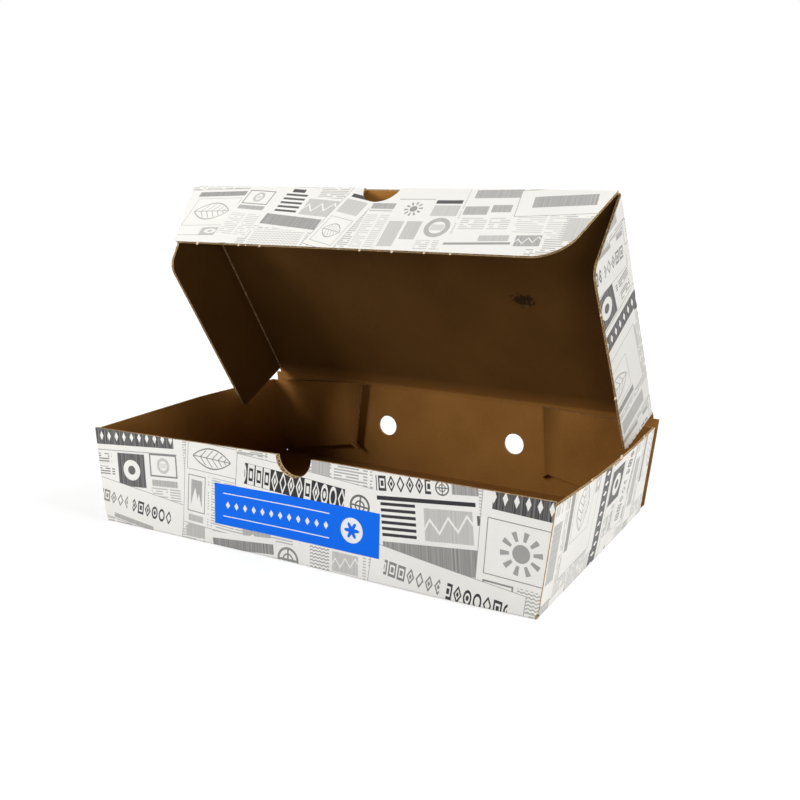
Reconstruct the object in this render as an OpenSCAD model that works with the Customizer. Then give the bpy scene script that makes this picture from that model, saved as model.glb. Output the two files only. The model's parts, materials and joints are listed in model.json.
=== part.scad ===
// Hinged takeaway box folded from one sheet of corrugated board.
// The tray stands on its base at z = 0 with its front wall towards -Y and
// the lid's hinge crease towards +Y. Lengths are in millimetres, angles in degrees.

/* [Board] */
// Thickness of the corrugated board
board_t = 1.5; // [1:0.1:3]
// Running gap left where one panel turns on another
crease_gap = 0.3; // [0.2:0.05:0.6]
// How far the outside of a pressed fold sits below the faces beside it
fold_press = 0.06; // [0.02:0.01:0.2]
// Bevel crushed along the lid's underside at each crease, so that a flap can fold past square
crease_bevel = 0.7; // [0.3:0.05:1]

/* [Tray] */
// Outside length of the base, left to right
base_w = 290; // [220:5:340]
// Outside depth of the base, front to back
base_d = 182; // [140:2:230]
// Height of the front wall
front_h = 61.5; // [45:0.5:90]
// Height of the two side walls
side_h = 59; // [42:0.5:86]
// Height of the crown of the lid's crease
hinge_h = 66; // [50:0.5:96]
// Outward lean of the side walls
flare = 7; // [2:0.5:12]
// Height of the clipped lower corner of the front and back walls
clip_h = 4; // [2:0.5:8]
// Thickness-way play between a corner flap and the wall it lines
lining_gap = 0.3; // [0.2:0.1:1]

/* [Front notch and vents] */
// Radius of the thumb notch in the front wall
notch_r = 11.8; // [8:0.2:18]
// Radius of each steam vent in the back wall
vent_r = 7.4; // [4:0.2:12]
// Distance of each vent from the middle
vent_x = 51.7; // [30:0.5:70]
// Height of the vents above the ground
vent_z = 33.4; // [20:0.5:50]

/* [Corner flaps] */
// Length of a rear corner flap along its top edge
rear_flap_top = 77; // [50:1:90]
// Length of a rear corner flap along its bottom edge
rear_flap_foot = 68.5; // [45:0.5:85]
// Height of the free end of a rear corner flap's bottom edge above its root
rear_flap_rise = 8; // [4:0.5:16]
// Drop of the free end of a rear corner flap's top edge below square
rear_flap_fall = 4.6; // [3:0.2:9]
// Angle the left rear corner flap stands away from the back wall
stand_left = 4.5; // [0:0.5:8]
// Angle the right rear corner flap stands away from the back wall
stand_right = 1.5; // [0:0.5:8]
// Length of a front corner flap
front_flap_len = 58; // [40:1:80]
// Drop of the free end of a front corner flap's top edge below square
front_flap_fall = 9; // [6:0.5:16]
// Length of the slanted lock slit in the back wall
slit_len = 7.6; // [6:0.2:12]
// Slope of the lock slit
slit_slope = 31; // [15:1:45]
// Play around the lock tongue inside its slit
slit_gap = 0.35; // [0.2:0.05:0.8]

/* [Lid] */
// Opening of the lid from closed
lid_open = 57; // [0:1:180]
// Distance from the hinge crease to the front flap's crease
lid_d = 172; // [130:1:220]
// Sideways play between a side flap and the tray wall beside it
lid_play = 1; // [0.6:0.1:2]
// Distance of each side flap from the hinge crease
flap_setback = 4; // [3:0.5:10]

/* [Front flap of the lid] */
// Fold of the front flap from flat
tuck_fold = 99; // [0:1:110]
// Depth of the front flap
tuck_d = 53; // [30:1:60]
// Slant of each end of the front flap
tuck_slant = 19; // [5:1:35]
// Corner radius at the right of the front flap
tuck_round = 24; // [10:1:30]
// Corner radius at the left of the front flap
tuck_nip = 3; // [1:0.5:10]
// Radius of the half-round thumb hole on the front flap's crease
thumb_r = 13; // [8:0.5:18]

/* [Side flaps of the lid] */
// Fold of each side flap from flat
side_fold = 96.5; // [90:0.5:150]
// Depth of the left side flap
left_d = 54.5; // [30:0.5:58]
// Depth of the right side flap
right_d = 49; // [30:0.5:58]
// Slant of a side flap's front end
side_front_slant = 25; // [10:1:40]
// Slant of a side flap's rear end
side_rear_slant = 11; // [5:1:25]
// Radius of a side flap's front corner
side_round = 9; // [4:0.5:16]
// Radius of a side flap's rear corner
side_nip = 3; // [1:0.5:8]

/* [Hidden] */
$fn = 64;
tray_white = [0.88, 0.87, 0.85];
lid_white = [0.92, 0.91, 0.89];
flap_white = [0.84, 0.83, 0.81];
half_t = board_t / 2;
mid_x = base_w / 2 - half_t; // fold lines of the base, on the board's middle plane
mid_y = base_d / 2 - half_t;
lean = tan(flare);
side_len = (side_h - half_t) / cos(flare); // side wall along its own slope
lining_y = mid_y - board_t - lining_gap; // creases of the corner flaps
hinge_y = mid_y;
hinge_z = hinge_h - half_t;
back_top = hinge_z - half_t - crease_gap; // where the back wall stops below the crease
clear_edge = half_t + crease_gap; // a panel stops this short of a turning crease
// middle plane of a side flap at its crease, clear of the leaning wall beside it
side_x = mid_x - board_t / cos(flare) + (hinge_z - half_t) * lean - lid_play;
side_front = lid_d - 2; // front end of a side flap's crease
slit_x = mid_x - rear_flap_foot * cos(flare) + rear_flap_rise * sin(flare) - 0.6;
slit_z = half_t + rear_flap_foot * sin(flare) + rear_flap_rise * cos(flare) - 1.4;

// Outer face of a leaning side wall at height z
function wall_x(z) = mid_x + half_t / cos(flare) + (z - half_t) * lean;

// A panel drawn in XY, laid out with its middle plane on z = 0
module sheet() {
    translate([0, 0, -half_t])
        linear_extrude(board_t)
            children();
}

// A panel drawn in XY, stood up in XZ with its middle plane on y = 0
module upright() {
    rotate([90, 0, 0])
        sheet()
            children();
}

// Pressed round of a fold, along X
module fold_round(len) {
    rotate([0, 90, 0])
        cylinder(r = half_t - fold_press, h = len, center = true);
}

// What a corner of radius r loses: p is the corner, a is the direction of its first
// edge and turn is the angle from there to its second edge
module corner_loss(p, a, turn, r) {
    reach = r / tan(turn / 2);
    translate(p)
        rotate(a)
            difference() {
                polygon([
                    [reach, 0],
                    [reach * cos(turn), reach * sin(turn)],
                    [-cos(turn / 2), -sin(turn / 2)]
                ]);
                // a touch nearer the corner, so that the round crosses both edges cleanly
                translate([reach, r] * (1 - 0.02 / r))
                    circle(r = r);
            }
}

// Outline of the front or back wall up to height h, its ends cut to the flare
module wall_outline(h) {
    polygon([
        [-mid_x + 1, half_t],
        [mid_x - 1, half_t],
        [wall_x(half_t + clip_h), half_t + clip_h],
        [wall_x(h), h],
        [-wall_x(h), h],
        [-wall_x(half_t + clip_h), half_t + clip_h]
    ]);
}

module base_sheet() {
    translate([0, 0, half_t])
        sheet()
            square([2 * mid_x, 2 * mid_y], center = true);
}

module front_wall() {
    translate([0, -mid_y, 0])
        upright()
            difference() {
                wall_outline(front_h);
                translate([0, front_h + 0.4])
                    circle(r = notch_r);
            }
    translate([0, -mid_y, half_t])
        fold_round(2 * mid_x - 3);
}

// Slanted lock slit, drawn in the back wall's own plane for the side s
module slit_outline(s) {
    translate([s * slit_x, slit_z])
        rotate(s * slit_slope)
            square([slit_len, board_t + 2 * slit_gap], center = true);
}

module back_wall() {
    translate([0, mid_y, 0])
        upright()
            difference() {
                wall_outline(back_top);
                for (s = [-1, 1]) {
                    translate([s * vent_x, vent_z])
                        circle(r = vent_r);
                    slit_outline(s);
                }
            }
    translate([0, mid_y, half_t])
        fold_round(2 * mid_x - 3);
}

// Corner flap drawn from its crease at x = 0 towards -X
module corner_flap(top, foot, rise, fall) {
    upright()
        polygon([
            [0, 1],
            [-foot, rise],
            [-top, side_len - fall],
            [0, side_len - 0.3]
        ]);
}

// Corner flap with the fold that joins it to the wall's rear end, turned in by stand
module lining(top, foot, rise, fall, stand) {
    translate([0, lining_y, side_len / 2])
        rotate([0, 90, 0])
            fold_round(side_len - 2.4);
    translate([0, lining_y, 0])
        rotate([0, 0, stand])
            corner_flap(top, foot, rise, fall);
}

// One leaning side wall with the two corner flaps that grow from its ends
module side_wall(rear_stand) {
    translate([mid_x, 0, half_t])
        rotate([0, flare, 0]) {
            rotate([0, -90, 0])
                sheet()
                    translate([0, -lining_y])
                        square([side_len, 2 * lining_y]);
            rotate([0, 0, 90])
                fold_round(2 * lining_y - 1);
            lining(rear_flap_top, rear_flap_foot, rear_flap_rise, rear_flap_fall, rear_stand);
            mirror([0, 1, 0])
                lining(front_flap_len, front_flap_len - 6, rear_flap_rise, front_flap_fall, 0.3);
        }
}

// Tongue at the foot of the right rear corner flap, bent out through the slit
module lock_tongue(stand) {
    reach = rear_flap_foot * sin(stand);
    translate([slit_x, lining_y - reach - half_t / 2, slit_z])
        rotate([0, -slit_slope, 0])
            translate([-slit_len / 2 + slit_gap, 0, -half_t])
                cube([slit_len - 2 * slit_gap, base_d / 2 - lining_y + reach, board_t]);
}

module tray() {
    color(tray_white)
        union() {
            base_sheet();
            front_wall();
            back_wall();
            side_wall(stand_right);
            lock_tongue(stand_right);
            mirror([1, 0, 0]) {
                side_wall(stand_left);
                lock_tongue(stand_left);
            }
        }
}

// Places a piece from the lid's own frame: hinge crease on X, lid towards -Y
module on_lid() {
    translate([0, hinge_y, hinge_z])
        rotate([-lid_open, 0, 0])
            children();
}

// Wedge that bevels the underside along an edge on X, with its panel towards +Y
module crease_wedge(len) {
    translate([0, 0, -half_t])
        rotate([45, 0, 0])
            cube([len, crease_bevel * sqrt(2), crease_bevel * sqrt(2)], center = true);
}

module lid() {
    edge_x = side_x - clear_edge;
    color(lid_white)
        on_lid()
            difference() {
                union() {
                    sheet()
                        polygon([
                            [-(side_x + half_t), 0],
                            [side_x + half_t, 0],
                            [side_x + half_t, -flap_setback + crease_gap],
                            [edge_x, -flap_setback + crease_gap],
                            [edge_x, -lid_d + clear_edge],
                            [-edge_x, -lid_d + clear_edge],
                            [-edge_x, -flap_setback + crease_gap],
                            [-(side_x + half_t), -flap_setback + crease_gap]
                        ]);
                    fold_round(2 * (side_x + half_t));
                }
                translate([0, -lid_d + clear_edge, 0])
                    crease_wedge(2 * side_x);
                for (s = [-1, 1])
                    translate([s * edge_x, -(lid_d + flap_setback) / 2, 0])
                        rotate([0, 0, 90])
                            crease_wedge(lid_d - flap_setback + crease_gap);
            }
}

module front_flap() {
    root = side_x - 0.5;
    tip = root - tuck_d * tan(tuck_slant);
    color(flap_white)
        on_lid()
            translate([0, -lid_d, 0])
                rotate([tuck_fold, 0, 0])
                    difference() {
                        union() {
                            sheet()
                                difference() {
                                    polygon([
                                        [-root, 0],
                                        [root, 0],
                                        [tip, -tuck_d],
                                        [-tip, -tuck_d]
                                    ]);
                                    corner_loss([tip, -tuck_d], 90 - tuck_slant, 90 + tuck_slant, tuck_round);
                                    corner_loss([-tip, -tuck_d], 0, 90 + tuck_slant, tuck_nip);
                                }
                            fold_round(2 * root - 1);
                        }
                        translate([0, 0, -board_t])
                            cylinder(r = thumb_r, h = 2 * board_t);
                    }
}

// Side flap of depth d, as it hangs at the right of the lid
module side_flap(d) {
    tip_front = side_front - d * tan(side_front_slant);
    tip_rear = flap_setback + d * tan(side_rear_slant);
    on_lid()
        translate([side_x, 0, 0])
            rotate([0, side_fold, 0])
                union() {
                    sheet()
                        difference() {
                            polygon([
                                [0, -flap_setback],
                                [0, -side_front],
                                [d, -tip_front],
                                [d, -tip_rear]
                            ]);
                            corner_loss([d, -tip_front], 90, 90 + side_front_slant, side_round);
                            corner_loss([d, -tip_rear], 180 - side_rear_slant,
                                90 + side_rear_slant, side_nip);
                        }
                    translate([0, -(side_front + flap_setback) / 2, 0])
                        rotate([0, 0, 90])
                            fold_round(side_front - flap_setback - 1);
                }
}

module right_flap() {
    color(flap_white)
        side_flap(right_d);
}

module left_flap() {
    color(flap_white)
        mirror([1, 0, 0])
            side_flap(left_d);
}

tray();
lid();
front_flap();
left_flap();
right_flap();
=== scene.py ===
import json
import math

import bpy
import numpy as np
from mathutils import Matrix, Vector

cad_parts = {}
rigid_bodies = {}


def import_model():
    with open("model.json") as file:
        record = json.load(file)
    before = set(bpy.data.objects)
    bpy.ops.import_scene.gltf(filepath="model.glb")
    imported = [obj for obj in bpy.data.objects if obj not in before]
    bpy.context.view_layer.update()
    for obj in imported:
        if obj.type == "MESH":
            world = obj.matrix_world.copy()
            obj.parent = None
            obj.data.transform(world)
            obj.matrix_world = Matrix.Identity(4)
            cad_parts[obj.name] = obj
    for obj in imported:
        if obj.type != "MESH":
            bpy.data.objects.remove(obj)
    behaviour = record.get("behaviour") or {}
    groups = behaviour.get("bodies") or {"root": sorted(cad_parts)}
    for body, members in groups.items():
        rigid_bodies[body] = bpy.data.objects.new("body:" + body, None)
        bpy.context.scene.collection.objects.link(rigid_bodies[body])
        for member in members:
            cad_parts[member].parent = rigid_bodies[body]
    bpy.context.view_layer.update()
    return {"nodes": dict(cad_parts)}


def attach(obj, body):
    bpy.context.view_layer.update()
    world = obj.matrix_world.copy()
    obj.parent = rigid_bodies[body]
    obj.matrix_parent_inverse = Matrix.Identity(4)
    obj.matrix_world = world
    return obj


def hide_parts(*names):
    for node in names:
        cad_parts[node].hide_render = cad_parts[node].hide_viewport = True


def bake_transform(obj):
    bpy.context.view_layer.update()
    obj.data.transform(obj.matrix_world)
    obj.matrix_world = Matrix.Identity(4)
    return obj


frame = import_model()
print("frame loaded:", ", ".join(sorted(frame["nodes"])))

mm = 0.001
board = {"thick": 1.5 * mm, "half": 0.75 * mm, "bend": 1.06 * mm, "bendSteps": 5}

# The box is one flat sheet, laid out in millimetres with its inner side up. The base lies
# round the origin, and each panel keeps its place on the sheet in its UV map.
sheetPlan = {
    "foldX": 144.25,  # creases between base and side walls
    "foldY": 90.25,  # creases between base and front and back walls
    "liningY": 88.45,  # creases of the corner flaps
    "hingeY": 154.75,  # crease between back wall and lid
    "tuckY": 326.75,  # crease between lid and its front flap
    "flapX": 149.658,  # creases between lid and side flaps
    "wallUp": 90,
    "sideUp": 83,
    "lidBack": 33,
    "tuckFold": 99,
    "flapFold": 96.5,
    "uvScale": 10.0,  # UV units per metre, so that 1 is 100 mm
}


def objectMode():
    if bpy.context.object and bpy.context.object.mode != "OBJECT":
        bpy.ops.object.mode_set(mode="OBJECT")


def selectNone():
    objectMode()
    bpy.ops.object.select_all(action="DESELECT")


def activate(obj):
    selectNone()
    obj.select_set(True)
    bpy.context.view_layer.objects.active = obj


def editAll(obj, kind="VERT"):
    activate(obj)
    bpy.ops.object.mode_set(mode="EDIT")
    bpy.ops.mesh.select_mode(type=kind)
    bpy.ops.mesh.select_all(action="SELECT")


def places(obj):
    co = np.zeros(len(obj.data.vertices) * 3)
    obj.data.vertices.foreach_get("co", co)
    return co.reshape(-1, 3)


# kind is VERT or EDGE, and test gets a place in mm, or two of them for an edge.
def pick(obj, kind, test):
    activate(obj)
    mesh = obj.data
    co = places(obj) / mm
    bpy.ops.object.mode_set(mode="EDIT")
    bpy.ops.mesh.select_mode(type=kind)
    bpy.ops.mesh.select_all(action="DESELECT")
    bpy.ops.object.mode_set(mode="OBJECT")
    if kind == "VERT":
        for v in mesh.vertices:
            v.select = bool(test(co[v.index]))
    else:
        for e in mesh.edges:
            e.select = bool(test(co[e.vertices[0]], co[e.vertices[1]]))
    bpy.ops.object.mode_set(mode="EDIT")


def bake(obj, kind, **values):
    activate(obj)
    made = obj.modifiers.new(kind, kind)
    for name, value in values.items():
        setattr(made, name, value)
    bpy.ops.object.modifier_apply(modifier=made.name)


def newSheet(name):
    selectNone()
    bpy.ops.mesh.primitive_plane_add(size=1, location=(0, 0, 0))
    obj = bpy.context.object
    obj.name = obj.data.name = name
    editAll(obj)
    bpy.ops.mesh.delete(type="VERT")
    return obj


# A rectangle on the sheet in mm. trims are (place, direction cut away); rounds are (corner, reach).
def addPanel(obj, x0, x1, y0, y1, trims=(), rounds=()):
    editAll(obj)
    bpy.ops.mesh.select_all(action="DESELECT")
    middle = ((x0 + x1) / 2 * mm, (y0 + y1) / 2 * mm, 0)
    bpy.ops.mesh.primitive_plane_add(size=1, location=middle)
    bpy.ops.transform.resize(value=((x1 - x0) * mm, (y1 - y0) * mm, 1), center_override=middle)
    for place, away in trims:
        bpy.ops.mesh.bisect(plane_co=(place[0] * mm, place[1] * mm, 0),
                            plane_no=Vector((*away, 0)).normalized(), clear_outer=True)
        bpy.ops.mesh.select_linked()
    for corner, reach in rounds:
        pick(obj, "VERT", lambda p: math.hypot(p[0] - corner[0], p[1] - corner[1]) < 0.1)
        bpy.ops.mesh.bevel(affect="VERTICES", offset=reach * mm, segments=10)
    objectMode()


def cutLines(obj, xs=(), ys=()):
    for x in xs:
        editAll(obj)
        bpy.ops.mesh.bisect(plane_co=(x * mm, 0, 0), plane_no=(1, 0, 0))
    for y in ys:
        editAll(obj)
        bpy.ops.mesh.bisect(plane_co=(0, y * mm, 0), plane_no=(0, 1, 0))
    editAll(obj)
    bpy.ops.mesh.remove_doubles(threshold=0.01 * mm)
    objectMode()


# Every face keeps its place on the flat sheet.
def layUv(obj):
    mesh = obj.data
    layer = mesh.uv_layers[0] if mesh.uv_layers else mesh.uv_layers.new(name="sheet")
    layer.name = "sheet"
    co = places(obj)
    spots = np.zeros(len(mesh.loops), int)
    mesh.loops.foreach_get("vertex_index", spots)
    uv = np.stack([co[spots, 0], -co[spots, 1]], 1) * sheetPlan["uvScale"]
    layer.data.foreach_set("uv", uv.ravel())


# Folds what test picks about an axis through centre, in mm. Positive lifts towards +Z.
def turn(obj, axis, centre, degrees, test=lambda p: True):
    pick(obj, "VERT", test)
    bpy.ops.transform.rotate(value=-math.radians(degrees), orient_axis=axis,
                             center_override=tuple(c * mm for c in centre))
    objectMode()


# The same fold as turn, as a matrix.
def hinge(axis, centre, degrees):
    spot = Vector(centre) * mm
    turned = Matrix.Rotation(math.radians(degrees), 4, axis)
    return Matrix.Translation(spot) @ turned @ Matrix.Translation(-spot)


# Where each panel's part of the flat sheet goes.
def panelPlaces():
    p = sheetPlan
    lift = Matrix.Translation((0, 0, board["half"]))
    made = {"base": lift}
    for s, name in ((-1, "frontWall"), (1, "backWall")):
        made[name] = lift @ hinge("X", (0, s * p["foldY"], 0), s * p["wallUp"])
    for s, name in ((-1, "leftWall"), (1, "rightWall")):
        made[name] = lift @ hinge("Y", (s * p["foldX"], 0, 0), -s * p["sideUp"])
    made["lid"] = made["backWall"] @ hinge("X", (0, p["hingeY"], 0), p["lidBack"])
    made["frontFlap"] = made["lid"] @ hinge("X", (0, p["tuckY"], 0), p["tuckFold"])
    for s, name in ((-1, "leftFlap"), (1, "rightFlap")):
        made[name] = made["lid"] @ hinge("Y", (s * p["flapX"], 0, 0), -s * p["flapFold"])
    return made


panelPlace = panelPlaces()


# The place in metres of a point of the flat sheet in mm, rise towards the inner side.
def spotOn(panel, x, y, rise=0):
    return panelPlace[panel] @ Vector((x * mm, y * mm, rise * mm))


# The sheet is the middle of the board, so the ground is half the board's thickness below the base.
def lift(obj):
    editAll(obj)
    bpy.ops.transform.translate(value=(0, 0, board["half"]))
    objectMode()


# From the flat sheet to the lid's place, over the crease at the hinge and up the back wall.
def raiseLid(obj):
    turn(obj, "X", (0, sheetPlan["hingeY"], 0), sheetPlan["lidBack"])
    turn(obj, "X", (0, sheetPlan["foldY"], 0), sheetPlan["wallUp"])
    lift(obj)


# Gives the folded sheet its thickness. The second UV map runs across the board's cut edge.
def thicken(obj):
    dress(obj)
    mesh = obj.data
    flat = len(mesh.vertices)
    bake(obj, "SOLIDIFY", thickness=board["thick"], offset=0, use_even_offset=True,
         material_offset=1, material_offset_rim=2)
    layer = mesh.uv_layers.new(name="edge")
    spots = np.zeros(len(mesh.loops), int)
    mesh.loops.foreach_get("vertex_index", spots)
    uv = np.stack([np.where(spots < flat, 0.0, 1.0), np.zeros(len(spots))], 1)
    layer.data.foreach_set("uv", uv.ravel())


# Gives a small piece one material, and one place across the cut edge.
def coat(piece, slot, across):
    dress(piece)
    mesh = piece.data
    for f in mesh.polygons:
        f.material_index = slot
    while mesh.uv_layers:
        mesh.uv_layers.remove(mesh.uv_layers[0])
    for name, u in (("sheet", 0), ("edge", across)):
        mesh.uv_layers.new(name=name).data.foreach_set("uv", (u, 0) * len(mesh.loops))


# Cuts the shape of cutter out of obj, and lays both UV maps on the new faces.
def cutOut(obj, panel, cutter):
    coat(cutter, 2, -99)
    bake(obj, "BOOLEAN", operation="DIFFERENCE", solver="EXACT", object=cutter)
    bpy.data.objects.remove(cutter)
    mesh, back = obj.data, panelPlace[panel].inverted()
    sheet, edge = mesh.uv_layers["sheet"].data, mesh.uv_layers["edge"].data
    for loop in mesh.loops:
        if edge[loop.index].uv[0] < -90:
            spot = back @ mesh.vertices[loop.vertex_index].co
            sheet[loop.index].uv = (spot.x * sheetPlan["uvScale"], -spot.y * sheetPlan["uvScale"])
            edge[loop.index].uv = (0.5 - spot.z / board["thick"], 0)


# Across the board's thickness the hole's inner rim lies off its outer one by skew, in mm.
def roundCutter(panel, x, y, radius, skew=(0, 0)):
    deep = 8
    selectNone()
    bpy.ops.mesh.primitive_cylinder_add(vertices=64, radius=radius * mm, depth=deep * mm)
    cutter = bpy.context.object
    for s in (-1, 1):
        pick(cutter, "VERT", lambda v: s * v[2] > 0)
        push = s * deep / 2 / board["thick"] * mm
        bpy.ops.transform.translate(value=(skew[0] * push * mm, skew[1] * push * mm, 0))
    objectMode()
    cutter.matrix_world = panelPlace[panel] @ Matrix.Translation((x * mm, y * mm, 0))
    return cutter


# Pares the board's inner edge along lines (axis, place on the sheet), so that a crease can close.
def pare(obj, panel, lines, size=0.8):
    back = panelPlace[panel].inverted()

    def onLine(a, b):
        ends = [(back @ Vector(q * mm)) / mm for q in (a, b)]
        return any(all(abs(q[axis] - at) < 0.03 and q[2] > 0.7 for q in ends) for axis, at in lines)

    pick(obj, "EDGE", onLine)
    bpy.ops.mesh.bevel(affect="EDGES", offset=size * mm, segments=2)
    objectMode()


def addTo(obj, piece, slot, across):
    coat(piece, slot, across)
    activate(obj)
    piece.select_set(True)
    bpy.ops.object.join()


# Tufts of torn paper, left where nicks held the sheet to the waste: (x, y, way, size), with the
# place on the sheet and the size in mm, and the way that each sticks out in degrees.
tufts = {
    "rightWall": [(203.2, -42, 0, 1.1), (203.2, 7.4, 0, 2.0), (203.2, 58.8, 0, 1.7)],
    "frontFlap": [(-111.8, 380, 90, 1.7), (-79.1, 380, 90, 1.2), (-73.7, 380, 90, 0.8), (-63, 380, 90, 1.4),
                  (8.9, 380, 90, 1.3), (30.3, 380, 90, 1.5), (51, 380, 90, 1.1), (67.3, 380, 90, 1.0)],
    "rightFlap": [(193.9, 212.4, 0, 1.5), (193.9, 275.2, 0, 1.3)],
}


def addTufts(obj, panel):
    for x, y, way, size in tufts[panel]:
        selectNone()
        bpy.ops.mesh.primitive_cone_add(vertices=9, radius1=0.9 * size * mm, radius2=0.35 * size * mm,
                                        depth=1.5 * size * mm)
        tuft = bpy.context.object
        tuft.matrix_world = (panelPlace[panel] @ Matrix.Translation((x * mm, y * mm, 0))
                             @ Matrix.Rotation(math.radians(way), 4, "Z") @ Matrix.Rotation(math.pi / 2, 4, "Y")
                             @ Matrix.Diagonal((0.55, 1, 1, 1)))
        bpy.ops.object.transform_apply(location=True, rotation=True, scale=True)
        addTo(obj, tuft, 2, -1)


# A block in mm, turned about Y, with its place in its mesh.
def block(name, middle, size, turned=0):
    selectNone()
    bpy.ops.mesh.primitive_cube_add(size=mm, location=[c * mm for c in middle])
    obj = bpy.context.object
    obj.name = obj.data.name = name
    obj.scale = size
    obj.rotation_euler.y = -math.radians(turned)
    bpy.ops.object.transform_apply(location=True, rotation=True, scale=True)
    return obj


# Bends pieces with a lattice over a box in mm. move gives each lattice point its shift in mm.
def warp(pieces, low, high, counts, move):
    selectNone()
    middle = (Vector(low) + Vector(high)) / 2
    size = Vector(high) - Vector(low)
    bpy.ops.object.add(type="LATTICE", location=middle * mm)
    cage = bpy.context.object
    cage.scale = size * mm
    data = cage.data
    data.points_u, data.points_v, data.points_w = counts
    data.interpolation_type_u = data.interpolation_type_v = data.interpolation_type_w = "KEY_LINEAR"
    for point in data.points:
        shift = move(*(middle[k] + point.co[k] * size[k] for k in range(3)))
        point.co_deform = [point.co_deform[k] + shift[k] / size[k] for k in range(3)]
    bpy.context.view_layer.update()
    for piece in pieces:
        bake(piece, "LATTICE", object=cage)
    bpy.data.objects.remove(cage)


def smooth(obj, degrees=32):
    activate(obj)
    bpy.ops.object.shade_smooth_by_angle(angle=math.radians(degrees))


def bounding(obj):
    co = places(obj) / mm
    return co.min(0).round(2).tolist(), co.max(0).round(2).tolist()


def mathNode(operation):
    return lambda self, *others: calc(self.socket.id_data, operation, self, *others)


# A number in a node tree. What is done with it makes Math nodes; | takes the larger, & the smaller.
class Value:
    def __init__(self, socket):
        self.socket = socket

    __add__ = mathNode("ADD")
    __sub__ = mathNode("SUBTRACT")
    __mul__ = mathNode("MULTIPLY")
    __truediv__ = mathNode("DIVIDE")
    __lt__ = mathNode("LESS_THAN")
    __gt__ = mathNode("GREATER_THAN")
    __or__ = mathNode("MAXIMUM")
    __and__ = mathNode("MINIMUM")
    __abs__ = mathNode("ABSOLUTE")

    def __rsub__(self, other):
        return calc(self.socket.id_data, "SUBTRACT", other, self)


# Links a value or socket to an input, or sets the input to a plain number or colour.
def wire(value, target):
    if isinstance(value, Value):
        value = value.socket
    if isinstance(value, bpy.types.NodeSocket):
        target.id_data.links.new(value, target)
    else:
        target.default_value = value


def addNode(tree, kind, *values, **settings):
    made = tree.nodes.new(kind)
    for name, value in settings.items():
        setattr(made, name, value)
    for slot, value in enumerate(values):
        if value is not None:
            wire(value, made.inputs[slot])
    return made


def calc(tree, operation, *values):
    return Value(addNode(tree, "ShaderNodeMath", *values, operation=operation).outputs[0])


def vector(tree, operation, *values):
    made = addNode(tree, "ShaderNodeVectorMath", *values, operation=operation).outputs
    return Value(made["Value"]) if operation == "LENGTH" else made["Vector"]


def parts(tree, place):
    return [Value(socket) for socket in addNode(tree, "ShaderNodeSeparateXYZ", place).outputs]


def point(tree, x, y):
    return addNode(tree, "ShaderNodeCombineXYZ", x, y, 0.0).outputs[0]


def noise(tree, place, scale, detail, rough):
    return Value(addNode(tree, "ShaderNodeTexNoise", place, None, scale, detail, rough).outputs[0])


# Takes value from the range (a, b) to the range (c, d).
def ramp(tree, value, a, b, c, d):
    return Value(addNode(tree, "ShaderNodeMapRange", value, a, b, c, d).outputs[0])


def choose(tree, kind, mask, a, b):
    at, out = {"FLOAT": (2, 0), "VECTOR": (4, 1), "RGBA": (6, 2)}[kind]
    made = addNode(tree, "ShaderNodeMix", mask, data_type=kind)
    wire(a, made.inputs[at])
    wire(b, made.inputs[at + 1])
    return Value(made.outputs[out]) if kind == "FLOAT" else made.outputs[out]


# A node group that takes places and gives a colour and a mask.
def newGroup(name, places, mask):
    tree = bpy.data.node_groups.new(name, "ShaderNodeTree")
    for socket in places:
        tree.interface.new_socket(socket, in_out="INPUT", socket_type="NodeSocketVector")
    tree.interface.new_socket("Color", in_out="OUTPUT", socket_type="NodeSocketColor")
    tree.interface.new_socket(mask, in_out="OUTPUT", socket_type="NodeSocketFloat")
    return tree, tree.nodes.new("NodeGroupInput").outputs, tree.nodes.new("NodeGroupOutput").inputs


# The kinds of field in the print. A field's code is its kind's number plus its ink, which is below 1.
fill = {name: k for k, name in enumerate((
    "plain", "rows", "streaks", "zigzag", "waves", "discOn", "leaf", "lozengesOn", "bars", "peaks",
    "shapes", "shapesOn", "wheel", "sun", "donut", "badge", "lozenges"))}

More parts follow.
